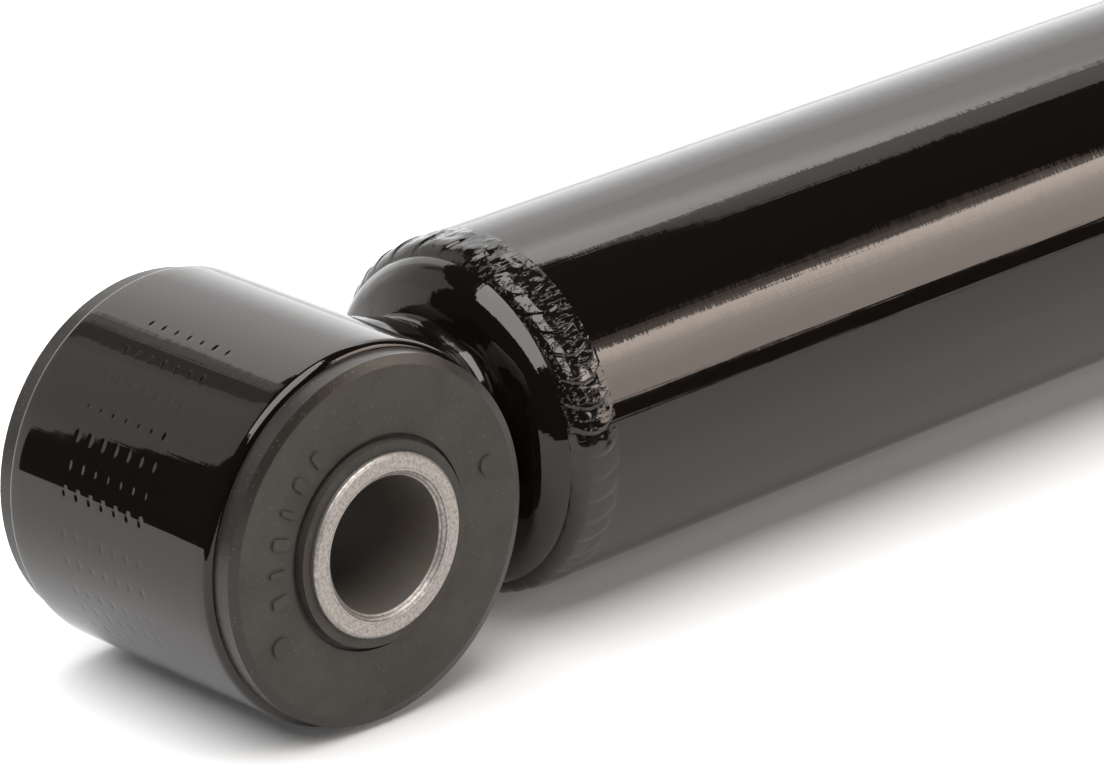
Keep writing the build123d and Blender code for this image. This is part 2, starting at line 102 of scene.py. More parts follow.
def between(tree, value, low, high, start=0.0, end=1.0):
    """value from low..high turned to start..end, and held there outside."""
    ramp = add(tree, "ShaderNodeMapRange")
    tree.links.new(value, ramp.inputs["Value"])
    for key, number in (("From Min", low), ("From Max", high), ("To Min", start), ("To Max", end)):
        ramp.inputs[key].default_value = number
    return ramp.outputs["Result"]


def calculated(tree, operation, first, second):
    """One value from two; the second may be a plain number."""
    node = add(tree, "ShaderNodeMath", operation=operation)
    tree.links.new(first, node.inputs[0])
    if hasattr(second, "links"):
        tree.links.new(second, node.inputs[1])
    else:
        node.inputs[1].default_value = second
    return node.outputs[0]


def separated(tree, vector):
    """The X, Y and Z of a vector, as outputs of those names."""
    split = add(tree, "ShaderNodeSeparateXYZ")
    tree.links.new(vector, split.inputs[0])
    return split.outputs


def mixed(tree, share, first, second):
    """A colour between two, by share."""
    mix = add(tree, "ShaderNodeMix", data_type="RGBA")
    tree.links.new(share, mix.inputs["Factor"])
    for socket, colour in ((mix.inputs["A"], first), (mix.inputs["B"], second)):
        if hasattr(colour, "links"):
            tree.links.new(colour, socket)
        else:
            socket.default_value = (*colour, 1)
    return mix.outputs["Result"]


def relief(tree, height, depth, under=None):
    """Bump of this depth in mm over an earlier one."""
    bump = add(tree, "ShaderNodeBump", Strength=1.0, Distance=depth * MM)
    tree.links.new(height, bump.inputs["Height"])
    if under is not None:
        tree.links.new(under, bump.inputs["Normal"])
    return bump.outputs["Normal"]


# The marks under the paint are faint low on the piece and full above: heights in metres, and the faint share.
COMB_HEIGHTS = (0.008, 0.014)
COMB_FAINT = 0.2


def combed(tree, axis, pitch, length, lean):
    """The surface turned a little, this way and that, round the piece's axis: fine marks of the steel beneath.

    They are pitch mm wide along the axis and length mm long round it; lean is the largest slope."""
    place = add(tree, "ShaderNodeTexCoord")
    across = add(tree, "ShaderNodeVectorMath", operation="CROSS_PRODUCT")
    across.inputs[0].default_value = axis
    tree.links.new(place.outputs["Normal"], across.inputs[1])
    size = [pitch if part else length for part in axis]
    slope = between(tree, grain(tree, size, detail=3.0, rough=0.6), 0.25, 0.75, -lean, lean)
    share = between(tree, separated(tree, place.outputs["Object"])["Z"], *COMB_HEIGHTS, COMB_FAINT, 1.0)
    turned = add(tree, "ShaderNodeVectorMath", operation="SCALE")
    tree.links.new(across.outputs["Vector"], turned.inputs[0])
    tree.links.new(calculated(tree, "MULTIPLY", slope, share), turned.inputs["Scale"])
    total = add(tree, "ShaderNodeVectorMath", operation="ADD")
    tree.links.new(place.outputs["Normal"], total.inputs[0])
    tree.links.new(turned.outputs["Vector"], total.inputs[1])
    facing = add(
        tree, "ShaderNodeVectorTransform", vector_type="NORMAL", convert_from="OBJECT", convert_to="WORLD",
    )
    tree.links.new(total.outputs["Vector"], facing.inputs[0])
    return facing.outputs[0]


# Sizes in mm of the marks under the paint, its orange peel and its runs, and the depths of the last two.
COMB_PITCH = 0.26
COMB_LENGTH = 2.2
PEEL_SIZE = 5.0
PEEL_DEPTH = 0.010
RUN_LENGTH = 40.0
RUN_WIDTH = 0.55
RUN_DEPTH = 0.009


def black_enamel(name, axis, lean):
    """Deep gloss black paint over turned steel: orange peel, runs along the axis, and the steel's marks."""
    finish, tree, shader = make_finish(name)
    shader.inputs["Base Color"].default_value = (0.0036, 0.0026, 0.0018, 1)
    shader.inputs["Specular Tint"].default_value = (1.0, 0.93, 0.885, 1)
    shader.inputs["IOR"].default_value = 1.45
    gloss = grain(tree, 9.0, detail=2.0)
    tree.links.new(between(tree, gloss, 0.35, 0.65, 0.03, 0.06), shader.inputs["Roughness"])
    normal = combed(tree, axis, COMB_PITCH, COMB_LENGTH, lean)
    normal = relief(tree, grain(tree, PEEL_SIZE, detail=1.0), PEEL_DEPTH, normal)
    run = [RUN_LENGTH if part else RUN_WIDTH for part in axis]
    normal = relief(tree, grain(tree, run, detail=2.0), RUN_DEPTH, normal)
    tree.links.new(normal, shader.inputs["Normal"])
    return finish


# Slag chips show from these heights up, by the tube and on the near side (in metres), and faintly elsewhere.
CHIP_HEIGHTS = (0.003, 0.012)
CHIP_TUBE_SIDE = (0.0405, 0.0425)
CHIP_NEAR_SIDE = (-0.004, -0.009)
CHIP_FAINT = 0.06
CHIP_SIZE = (1.9, 0.55, 0.55)


def weld_enamel(name, chips):
    """The same black paint over a weld bead, with slag chips of this depth in mm that it didn't hide."""
    finish, tree, shader = make_finish(name)
    shader.inputs["Base Color"].default_value = (0.0040, 0.0032, 0.0025, 1)
    shader.inputs["Specular Tint"].default_value = (1.0, 0.94, 0.90, 1)
    shader.inputs["IOR"].default_value = 1.5
    shader.inputs["Roughness"].default_value = 0.10
    normal = relief(tree, grain(tree, 2.8, detail=2.0), 0.07)
    if chips:
        place = separated(tree, add(tree, "ShaderNodeTexCoord").outputs["Object"])
        upper = between(tree, place["Z"], *CHIP_HEIGHTS)
        tube_side = between(tree, place["X"], *CHIP_TUBE_SIDE, CHIP_FAINT, 1.0)
        near_side = between(tree, place["Y"], *CHIP_NEAR_SIDE, CHIP_FAINT, 1.0)
        where = calculated(tree, "MULTIPLY", upper, calculated(tree, "MAXIMUM", tube_side, near_side))
        stroke = between(tree, grain(tree, CHIP_SIZE, detail=1.0), 0.55, 0.66)
        normal = relief(tree, calculated(tree, "MULTIPLY", stroke, where), chips, normal)
    tree.links.new(normal, shader.inputs["Normal"])
    return finish


def axis_radius(tree, centre):
    """Distance in mm from a bolt's axis, which runs along Y through centre."""
    flat = add(tree, "ShaderNodeCombineXYZ")
    radius = add(tree, "ShaderNodeVectorMath", operation="LENGTH")
    place = separated(tree, mapped(tree, (1 / MM,) * 3, centre))
    tree.links.new(place["X"], flat.inputs["X"])
    tree.links.new(place["Z"], flat.inputs["Z"])
    tree.links.new(flat.outputs[0], radius.inputs[0])
    return radius.outputs["Value"]


# Radii in mm between which the rubber's face turns into its rim, and the grain's sizes and depths.
RUBBER_RIM = (25.35, 25.6)
SPECK_SCALE = 1100
FINE_RUBBER_GRAIN = (0.35, 0.02)
BROAD_RUBBER_GRAIN = (3.0, 0.05)


def moulded_rubber(name, centre):
    """Black bush rubber: a matt, faintly brown face with bloom and pale specks, and a smoother rim."""
    finish, tree, shader = make_finish(name)
    rim = between(tree, axis_radius(tree, centre), *RUBBER_RIM)
    cloud = between(tree, grain(tree, 7.0, detail=4.0, rough=0.6), 0.35, 0.7)
    colour = mixed(tree, cloud, (0.029, 0.0255, 0.0215), (0.043, 0.0380, 0.0325))
    colour = mixed(tree, rim, colour, (0.020, 0.0175, 0.0150))
    specks = add(tree, "ShaderNodeTexVoronoi", Scale=1.0, Randomness=1.0)
    tree.links.new(mapped(tree, (SPECK_SCALE,) * 3), specks.inputs["Vector"])
    dust = between(tree, specks.outputs["Distance"], 0.06, 0.16, 1.0, 0.0)
    tree.links.new(mixed(tree, dust, colour, (0.085, 0.076, 0.066)), shader.inputs["Base Color"])
    tree.links.new(between(tree, rim, 0, 1, 0.62, 0.29), shader.inputs["Roughness"])
    shader.inputs["IOR"].default_value = 1.5
    shader.inputs["Specular IOR Level"].default_value = 0.35
    shader.inputs["Specular Tint"].default_value = (1.0, 0.94, 0.88, 1)
    normal = None
    for (size, depth), detail in ((FINE_RUBBER_GRAIN, 3.0), (BROAD_RUBBER_GRAIN, 2.0)):
        normal = relief(tree, grain(tree, size, detail=detail), depth, normal)
    tree.links.new(normal, shader.inputs["Normal"])
    return finish


# Radii in mm between which the sleeve's bore turns into its face, and the face's worn inner edge ends.
BORE_EDGE = (10.02, 10.12)
MOUTH_EDGE = (10.9, 11.5)
RING_SCALE = 700
RING_DEPTH = 0.03


def turned_steel(name, centre):
    """Bare steel of a bolt sleeve: faced ends with fine rings and pits, and a darker, less metallic bore with
    brownish patches.
    """
    finish, tree, shader = make_finish(name)
    rings = add(tree, "ShaderNodeTexWave", wave_type="RINGS", rings_direction="Y", Scale=1.0)
    rings.inputs["Distortion"].default_value = 0.8
    rings.inputs["Detail"].default_value = 2.0
    tree.links.new(mapped(tree, (RING_SCALE,) * 3, centre), rings.inputs["Vector"])
    pits = between(tree, grain(tree, 0.55, detail=5.0, rough=0.75), 0.30, 0.58)
    face = mixed(tree, pits, (0.20, 0.185, 0.170), (0.39, 0.36, 0.33))
    # Noise picks between two dark bore colours, one browner; the bore is darker and less metallic than the
    # faced ends.
    bore_patches = between(tree, grain(tree, 2.2, detail=4.0), 0.52, 0.72)
    bore = mixed(tree, bore_patches, (0.130, 0.116, 0.100), (0.150, 0.105, 0.070))
    radius = axis_radius(tree, centre)
    on_face = between(tree, radius, *BORE_EDGE)
    grooves = between(tree, rings.outputs["Fac"], 0.0, 0.45, 0.55, 1.0)
    grooves = mixed(tree, between(tree, radius, *MOUTH_EDGE), grooves, (1, 1, 1))
    faced = mixed(tree, grooves, (0, 0, 0), face)
    tree.links.new(mixed(tree, on_face, bore, faced), shader.inputs["Base Color"])
    tree.links.new(between(tree, on_face, 0, 1, 0.35, 1.0), shader.inputs["Metallic"])
    tree.links.new(between(tree, pits, 0, 1, 0.66, 0.50), shader.inputs["Roughness"])
    normal = relief(tree, rings.outputs["Fac"], RING_DEPTH)
    normal = relief(tree, grain(tree, 0.22, detail=3.0), 0.008, normal)
    tree.links.new(normal, shader.inputs["Normal"])
    return finish


def metal(name, colour, rough, mark=(0.4, 3.0, 3.0), depth=0.001):
    """A worked metal: its colour and a darker shade, tool marks of this size and depth in mm, uneven gloss."""
    finish, tree, shader = make_finish(name)
    shader.inputs["Metallic"].default_value = 1.0
    shade = between(tree, grain(tree, 1.6, detail=4.0), 0.3, 0.7)
    dark = tuple(c * 0.72 for c in colour)
    tree.links.new(mixed(tree, shade, dark, colour), shader.inputs["Base Color"])
    tree.links.new(between(tree, shade, 0, 1, rough * 1.25, rough * 0.85), shader.inputs["Roughness"])
    tree.links.new(relief(tree, grain(tree, mark, detail=3.0), depth), shader.inputs["Normal"])
    return finish


def soft_polymer(name, colour, rough):
    """A seal's rubber or a bearing band's plastic."""
    finish, tree, shader = make_finish(name)
    shade = between(tree, grain(tree, 2.0, detail=3.0), 0.3, 0.7)
    dark = tuple(c * 0.8 for c in colour)
    tree.links.new(mixed(tree, shade, dark, colour), shader.inputs["Base Color"])
    shader.inputs["Roughness"].default_value = rough
    tree.links.new(relief(tree, grain(tree, 0.4, detail=3.0), 0.006), shader.inputs["Normal"])
    return finish


tube_paint = black_enamel("tube_black_enamel", (1, 0, 0), 0.020)
eye_paint = black_enamel("eye_black_enamel", (0, 1, 0), 0.012)
seam_paint = weld_enamel("seam_black_enamel", 0.15)
bead_paint = weld_enamel("bead_black_enamel", 0)
bush_rubber = {
    end: moulded_rubber(end + "_bush_rubber", (centre_x * MM, 0, 0))
    for end, centre_x in eye_centres.items()
}

finish_of_slot = {
    "black_paint": tube_paint,
    "rod_chrome": metal("rod_hard_chrome", (0.62, 0.63, 0.64), 0.08, mark=(0.06, 2.0, 2.0), depth=0.0003),
    "drawn_steel": metal("drawn_steel", (0.42, 0.41, 0.40), 0.34, mark=(12.0, 0.25, 0.25)),
    "sintered_iron": metal("sintered_iron", (0.22, 0.21, 0.20), 0.55, mark=0.18, depth=0.01),
    "guide_aluminium": metal("guide_aluminium", (0.60, 0.60, 0.60), 0.38, mark=0.3, depth=0.003),
    "spring_steel": metal("spring_steel", (0.34, 0.36, 0.40), 0.22, mark=(0.5, 0.5, 4.0)),
    "zinc_steel": metal("zinc_steel", (0.60, 0.60, 0.56), 0.30, mark=0.5, depth=0.002),
    "bronze": metal("guide_bronze", (0.50, 0.34, 0.16), 0.33, mark=(0.3, 2.0, 2.0)),
    "seal_rubber": soft_polymer("seal_rubber", (0.018, 0.018, 0.020), 0.45),
    "band_plastic": soft_polymer("band_plastic", (0.10, 0.085, 0.06), 0.35),
}
finish_of_node = {}
for end, centre_x in eye_centres.items():
    finish_of_node[end + "_sleeve"] = turned_steel(end + "_sleeve_steel", (centre_x * MM, 0, 0))
    finish_of_node[end + "_bush_rubber"] = bush_rubber[end]
    finish_of_node[end + "_eye_ring"] = eye_paint
    finish_of_node[end + "_neck_welds"] = bead_paint
for node_name, node_object in nodes.items():
    slot_name = node_object.material_slots[0].material.name.split(".")[0]
    finish = finish_of_node.get(node_name) or finish_of_slot[slot_name]
    if node_name.endswith("seam"):
        finish = seam_paint
    for material_slot in node_object.material_slots:
        material_slot.material = finish


# Pieces: first what makes and places meshes, then the pieces themselves.

SECTORS = 12


def held(value, low=0.0, high=1.0):
    """The value, or the nearer limit where it lies outside."""
    return min(high, max(low, value))


def uneven(x, y, z, fineness, shift=0.0):
    """Smooth noise from -1 to 1 at a point in mm; fineness is about how many lumps lie in a mm."""
    return noise.noise((x * fineness, y * fineness, z * fineness + shift))


def spin_ring(outline, steps, centre=0.0, axis="X"):
    """A closed ring from (along, radius) points of its section in mm, spun about X or about a bolt's axis.

    One sector is spun and the others are copies of it, welded together."""
    ring = bmesh.new()
    middle = Vector((centre * MM if axis == "Y" else 0.0, 0, 0))
    line = Vector((1, 0, 0)) if axis == "X" else Vector((0, 1, 0))
    corners = [
        ring.verts.new(middle + line * along * MM + Vector((0, 0, radius * MM))) for along, radius in outline
    ]
    for first, second in zip(corners, corners[1:] + corners[:1]):
        ring.edges.new((first, second))
    bmesh.ops.spin(
        ring, geom=ring.verts[:] + ring.edges[:], cent=middle, axis=line,
        angle=math.tau / SECTORS, steps=steps // SECTORS, use_merge=False,
    )
    sector = ring.verts[:] + ring.edges[:] + ring.faces[:]
    for number in range(1, SECTORS):
        made = bmesh.ops.duplicate(ring, geom=sector)["geom"]
        bmesh.ops.rotate(
            ring, verts=[part for part in made if isinstance(part, bmesh.types.BMVert)], cent=middle,
            matrix=Matrix.Rotation(math.tau * number / SECTORS, 3, line),
        )
    bmesh.ops.remove_doubles(ring, verts=ring.verts, dist=1e-6)
    bmesh.ops.recalc_face_normals(ring, faces=ring.faces)
    return ring


def round_corners(sheet, radius, segments):
    """Rounds the corners of a flat sheet."""
    bmesh.ops.bevel(
        sheet, geom=sheet.verts[:], offset=radius, offset_type="OFFSET", affect="VERTICES",
        segments=segments, profile=0.5, material=-1,
    )


def placed(name, shape):
    """A new object in the scene with this bmesh, which it uses up."""
    data = bpy.data.meshes.new(name)
    shape.to_mesh(data)
    shape.free()
    piece = bpy.data.objects.new(name, data)
    bpy.context.scene.collection.objects.link(piece)
    return piece


def finish_piece(name, shape, finish, body, slot, *replaced, sharp=40):
    """Turns a bmesh into a named piece that rides on its body; edges over sharp degrees stay hard."""
    for face in shape.faces:
        face.smooth = True
    piece = placed(name, shape)
    piece.data.set_sharp_from_angle(angle=math.radians(sharp))
    piece.data.materials.append(finish)
    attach(piece, body)
    if replaced:
        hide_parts(*replaced)


def arc(start, end, rise, count):
    """Points from start to end, bulging by rise to the left of that way, or to its right if negative."""
    start, end = Vector(start), Vector(end)
    chord = end - start
    side = Vector((-chord.y, chord.x)).normalized()
    radius = (chord.length ** 2 / 4 + rise ** 2) / (2 * rise)
    centre = (start + end) / 2 + side * (rise - radius)
    first = math.atan2(*(start - centre).yx)
    last = math.atan2(*(end - centre).yx)
    return [
        tuple(centre + abs(radius) * Vector((math.cos(a), math.sin(a))))
        for a in (first + (last - first) * step / count for step in range(count + 1))
    ]


# The stamp marks: their rows in degrees round the bolt, counted from the cap's side, and their sizes in mm.
# REACH and FALL are where a mark has faded out and how steeply it does, as squares of its own half sizes.
STAMP_ROWS = (111, 122, 132, 142, 151, 159.5, 167.5, 180, 189, 199, 206, 213)
STAMP_COUNT = 7
STAMP_PITCH = 2.75
STAMP_LENGTH = 0.85
STAMP_WIDTH = 0.42
STAMP_DEPTH = 0.075
STAMP_MIDDLE = 1.1
STAMP_REACH = 1.6
STAMP_FALL = 1.8
# Steps of the ring's section across the stamped band and a plain side, of a rim in degrees, and round it.
BAND_STEPS = 68
PLAIN_STEPS = 6
RIM_STEP = 9
RING_STEPS = 600


def eye_ring(end):
    """The rolled ring of an eye: rounded rims, and rows of small oval stamp marks pressed into its back."""
    centre = eye_centres[end]
    half = EYE_WIDTH / 2
    flat = half - EYE_EDGE
    high = STAMP_MIDDLE + STAMP_PITCH * STAMP_COUNT / 2
    low = STAMP_MIDDLE - STAMP_PITCH * STAMP_COUNT / 2
    band = [low + (high - low) * step / BAND_STEPS for step in range(BAND_STEPS + 1)]
    plain_near = [-flat + (low + flat) * step / PLAIN_STEPS for step in range(PLAIN_STEPS)]
    plain_far = [high + (flat - high) * (step + 1) / PLAIN_STEPS for step in range(PLAIN_STEPS)]
    turns = [math.radians(degrees) for degrees in range(RIM_STEP, 91, RIM_STEP)]
    rim = [(flat + EYE_EDGE * math.sin(a), EYE_RADIUS - EYE_EDGE + EYE_EDGE * math.cos(a)) for a in turns]
    outline = [(y, EYE_RADIUS) for y in plain_near + band + plain_far]
    outline += rim
    outline += [(half, EYE_BORE), (-half, EYE_BORE)]
    outline += [(-y, radius) for y, radius in reversed(rim)]
    ring = spin_ring(outline, RING_STEPS, centre, "Y")
    cap_side = 0 if end == "lower" else 180
    for corner in ring.verts:
        x, y, z = corner.co.x / MM - centre, corner.co.y / MM, corner.co.z / MM
        radius = math.hypot(x, z)
        if radius < EYE_RADIUS - 0.01 or not low < y < high:
            continue
        angle = (math.degrees(math.atan2(z, x)) - cap_side) % 360
        row = min(STAMP_ROWS, key=lambda place: abs(place - angle))
        along = (angle - row) * math.pi / 180 * EYE_RADIUS / STAMP_LENGTH
        across = ((y - low) % STAMP_PITCH - STAMP_PITCH / 2) / STAMP_WIDTH
        far = along * along + across * across
        if far < STAMP_REACH:
            wear = 0.8 + 0.35 * noise.noise((x * 0.21, y * 0.35, z * 0.21))
            sink = STAMP_DEPTH * wear * (math.exp(-STAMP_FALL * far) - math.exp(-STAMP_FALL * STAMP_REACH))
            corner.co.x -= sink * x / radius * MM
            corner.co.z -= sink * z / radius * MM
    body = BODY_OF_END[end]
    finish_piece(end + "_ring_stamped", ring, eye_paint, body, "black_paint", end + "_eye_ring")


# The seam's section in mm, as (along, radius): its toes, the shoulder between them, and its underside.
SEAM_CAP_TOE = (37.0, 24.8)
SEAM_SHOULDER = (39.3, 26.7)
SEAM_TUBE_TOE = (44.5, 27.0)
SEAM_INNER = ((44.4, 26.8), (38.6, 24.9))
SEAM_STEPS = 960
# Its scales: a short stretch of broad ones where the weld starts, and fine ones the rest of the way round.
BROAD_START = math.radians(48)
BROAD_SPAN = math.radians(62)
BROAD_SCALES = 5
FINE_SCALES = 37
# In mm: a scale's height, how far its middle runs ahead of its ends, and how far it wanders.
SCALE_HEIGHT = 0.34
SCALE_LEAD = 1.9
SCALE_WANDER = 1.0
# The upper side, rougher than the lower one, comes on from UPPER_START over UPPER_SPAN in mm.
UPPER_START = -2.0
UPPER_SPAN = 8.0
# The share of a scale's length over which it drops to the next, and how much less of it that is above.
SCALE_DROP = 0.30
SCALE_SHARPER = 0.20
SPATTER = 0.12
UNEVENNESS = 0.07


def seam_bead():
    """The cap's welded seam: overlapping scales laid round the tube, with spatter and uneven toes."""
    crest = arc(SEAM_CAP_TOE, SEAM_SHOULDER, 0.35, 12)[:-1] + arc(SEAM_SHOULDER, SEAM_TUBE_TOE, 0.12, 24)
    ring = spin_ring(crest + list(SEAM_INNER), SEAM_STEPS)
    middle = (crest[0][0] + crest[-1][0]) / 2
    reach = abs(crest[-1][0] - crest[0][0]) / 2
    hidden = {round(along, 3) for along, radius in SEAM_INNER}
    for corner in ring.verts:
        x, y, z = corner.co / MM
        if round(x, 3) in hidden:
            continue
        radius = math.hypot(y, z)
        angle = math.atan2(z, y) % math.tau
        across = held((x - middle) / reach, -1.0, 1.0)
        lead = SCALE_LEAD * (1 - across * across) - SCALE_WANDER * noise.noise((y * 0.10, z * 0.10, 3.0))
        turned = (angle - lead / radius - BROAD_START) % math.tau
        if turned < BROAD_SPAN:
            phase = turned / BROAD_SPAN * BROAD_SCALES
        else:
            phase = BROAD_SCALES + (turned - BROAD_SPAN) / (math.tau - BROAD_SPAN) * FINE_SCALES
        scale_no, part = math.floor(phase), phase % 1.0
        upper = held((z - UPPER_START) / UPPER_SPAN)
        fall = SCALE_DROP - SCALE_SHARPER * upper
        drop = held((part - 1 + fall) / fall)
        climb = part / (1 - fall) if part < 1 - fall else 1 - drop * drop * (3 - 2 * drop)
        strength = (0.45 + 0.55 * upper) * (0.85 + 0.5 * noise.noise((scale_no * 1.7, 5.0, 0.0)))
        edge = 1 - across ** 4
        lift = edge * strength * SCALE_HEIGHT * (climb - 0.5)
        lift += edge * upper * SPATTER * uneven(x, y, z, 0.6)
        lift += edge * UNEVENNESS * uneven(x, y, z, 0.25)
        corner.co.y += lift * y / radius * MM
        corner.co.z += lift * z / radius * MM
    finish_piece(
        "bottom_seam_scales", ring, seam_paint, "reservoir", "black_paint", "bottom_cap_seam", sharp=60,
    )


# The raised bars: their circle, heights, widths and length in mm, and their places in degrees round the bolt.
# A corner's radius is MARK_CORNER, or the bar's width over MARK_ROUNDEST where that is less.
MARK_CIRCLE = 18.6
MARK_HEIGHT = 0.35
MARK_WIDTHS = (1.6, 1.6, 0.8, 1.6, 0.8, 1.6)
MARK_LENGTH = 2.8
MARK_CORNER = 0.5
MARK_ROUNDEST = 2.2
MARK_START = 124
MARK_TURN = 13.2


def mould_marks(end):
    """Six plain raised bars in an arc on the bush's near face, as a mould's insert leaves."""
    centre = eye_centres[end]
    face = -EYE_WIDTH / 2 - FLANGE_THICKNESS
    marks = bmesh.new()
    for number, width in enumerate(MARK_WIDTHS):
        plate = bmesh.new()
        bmesh.ops.create_grid(plate, x_segments=1, y_segments=1, size=0.5)
        bmesh.ops.scale(plate, verts=plate.verts, vec=(MARK_LENGTH * MM, width * MM, 1))
        round_corners(plate, min(MARK_CORNER, width / MARK_ROUNDEST) * MM, 4)
        bmesh.ops.solidify(plate, geom=plate.faces[:], thickness=2 * MARK_HEIGHT * MM)
        middle = sum(corner.co.z for corner in plate.verts) / len(plate.verts)
        bmesh.ops.translate(plate, verts=plate.verts, vec=(0, 0, -middle))
        bmesh.ops.rotate(plate, verts=plate.verts, cent=(0, 0, 0), matrix=Matrix.Rotation(math.pi / 2, 3, "X"))
        turn = math.radians(MARK_START + MARK_TURN * number)
        bmesh.ops.rotate(plate, verts=plate.verts, cent=(0, 0, 0), matrix=Matrix.Rotation(-turn, 3, "Y"))
        place = Vector((math.cos(turn), 0, math.sin(turn))) * MARK_CIRCLE
        bmesh.ops.translate(plate, verts=plate.verts, vec=(place + Vector((centre, face, 0))) * MM)
        bmesh.ops.recalc_face_normals(plate, faces=plate.faces)
        part = bpy.data.meshes.new("mark")
        plate.to_mesh(part)
        plate.free()
        marks.from_mesh(part)
        bpy.data.meshes.remove(part)
    finish_piece(end + "_mould_marks", marks, bush_rubber[end], BODY_OF_END[end], "bush_rubber")


# The neck bead's section in mm, as (away from the bolt, radius): the toe on the cap, the crest and the root of
# its hollow, and the lip on the ring, then how deep the hollow is and how far the bead bites into the ring.
NECK_TOE = (31.8, 17.6)
NECK_CREST = (31.3, 17.85)
NECK_ROOT = (28.2, 18.1)
NECK_LIP_RADIUS = 20.2
NECK_LIP = (math.sqrt(EYE_RADIUS ** 2 - NECK_LIP_RADIUS ** 2), NECK_LIP_RADIUS)
NECK_HOLLOW = 0.8
NECK_BITE = 0.4
NECK_INNER_ALONG = 31.0
NECK_INNER_RADIUS = 12.0
NECK_STEPS = 360
# The run of weld that spreads over the cap: its place and width in degrees, and its height in mm.
SPREAD_PLACE = 134
SPREAD_WIDTH = 16
SPREAD_HEIGHT = 1.1
# In mm: the heights of the bead's lumps, small lumps and ripples, and the pitch of the ripples.
NECK_LUMP = 0.34
NECK_SMALL_LUMP = 0.06
NECK_RIPPLE = 0.015
NECK_PITCH = 3.4


def neck_bead(end):
    """The lumpy bead from the cap to the eye ring: a tight fillet that flares over the ring's round back."""
    centre = eye_centres[end]
    away = 1 if end == "lower" else -1
    fillet = arc(NECK_ROOT, NECK_CREST, -NECK_HOLLOW, 16)[::-1]
    flare = arc(NECK_LIP, NECK_ROOT, 0.3, 10)[::-1]
    inner = [(NECK_LIP[0], NECK_INNER_RADIUS), (NECK_INNER_ALONG, NECK_INNER_RADIUS)]
    ring = spin_ring([NECK_TOE] + fillet + flare[1:] + inner, NECK_STEPS)
    width = NECK_TOE[0] - NECK_LIP[0]
    for corner in ring.verts:
        x, y, z = corner.co / MM
        radius = math.hypot(y, z)
        if radius > NECK_INNER_RADIUS + 0.5:
            angle = math.degrees(math.atan2(z, y)) % 360
            edge = math.sin(math.pi * held((x - NECK_LIP[0]) / width)) ** 0.5
            spread = SPREAD_HEIGHT * math.exp(-((angle - SPREAD_PLACE) / SPREAD_WIDTH) ** 2)
            lump = NECK_LUMP * uneven(x, y, z, 0.20)
            lump += NECK_SMALL_LUMP * uneven(x, y, z, 0.5, 9.0)
            phase = math.radians(angle) * radius * math.tau / NECK_PITCH
            ripple = NECK_RIPPLE * math.sin(phase + 0.9 * noise.noise((y * 0.1, z * 0.1, 1.0)))
            lift = spread * (x - NECK_LIP[0]) / width + edge * (lump + ripple)
            y += lift * y / radius
            z += lift * z / radius
        x = max(x, math.sqrt(EYE_RADIUS ** 2 - z * z) - NECK_BITE)
        corner.co = (centre * MM + away * x * MM, away * y * MM, z * MM)
    if away < 0:
        bmesh.ops.recalc_face_normals(ring, faces=ring.faces)
    body = BODY_OF_END[end]
    finish_piece(end + "_neck_bead", ring, bead_paint, body, "black_paint", end + "_neck_welds")


for eye in BODY_OF_END:
    eye_ring(eye)
    neck_bead(eye)
    mould_marks(eye)
seam_bead()


# Studio: soft boxes that the paint mirrors, the table, the room and two lamps.

def cleared(owner):
    """The node tree of a material or of the world, emptied."""
    owner.use_nodes = True
    owner.node_tree.nodes.clear()
    return owner.node_tree


def emitter(name, colour, levels):
    """A soft box's cloth: its brightness at these heights, and evenly between them."""
    cloth = bpy.data.materials.new(name)
    tree = cleared(cloth)
    glow = add(tree, "ShaderNodeEmission", Color=(*colour, 1))
    output = add(tree, "ShaderNodeOutputMaterial")
    height = separated(tree, add(tree, "ShaderNodeTexCoord").outputs["Object"])["Z"]
    brightness = add(tree, "ShaderNodeFloatCurve")
    curve = brightness.mapping.curves[0]
    brightest = max(level for rise, level in levels)
    low, high = levels[0][0], levels[-1][0]
    for number, (rise, level) in enumerate(levels):
        point = ((rise - low) / (high - low), level / brightest)
        if number in (0, len(levels) - 1):
            curve.points[0 if number == 0 else -1].location = point
        else:
            curve.points.new(*point)
    for point in curve.points:
        point.handle_type = "VECTOR"
    brightness.mapping.update()
    tree.links.new(between(tree, height, low, high), brightness.inputs["Value"])
    strength = calculated(tree, "MULTIPLY", brightness.outputs[0], brightest)
    tree.links.new(strength, glow.inputs["Strength"])
    tree.links.new(glow.outputs["Emission"], output.inputs["Surface"])
    return cloth


def soft_panel(name, start, end, levels, colour=(1, 1, 1), reach=3.0, middle=(0.08, 0, 0)):
    """A curved soft box: azimuths from the near side (-Y) by +X, and (height, brightness), in degrees."""
    bottom, top = levels[0][0], levels[-1][0]
    sheet = bmesh.new()
    bmesh.ops.create_grid(sheet, x_segments=16, y_segments=12, size=1)
    for corner in sheet.verts:
        turn = math.radians(start + (corner.co.x + 1) / 2 * (end - start))
        rise = math.radians(bottom + (corner.co.y + 1) / 2 * (top - bottom))
        flat = reach * math.cos(rise)
        out = Vector((flat * math.sin(turn), -flat * math.cos(turn), reach * math.sin(rise)))
        corner.co = Vector(middle) + out
    panel = placed(name, sheet)
    heights = [(middle[2] + reach * math.sin(math.radians(rise)), level) for rise, level in levels]
    panel.data.materials.append(emitter(name + "_cloth", colour, heights))
    panel.visible_camera = False
    panel.visible_shadow = False
    return panel


TABLE_LEFT = -0.25
TABLE_RIGHT = 0.85
TABLE_NEAR = -0.34
TABLE_FAR = 0.90
TABLE_CORNER = 0.06
TABLE_GAP = 0.0001
TABLE_WHITE = (0.88, 0.88, 0.88, 1)
TABLE_GLOW = 0.05


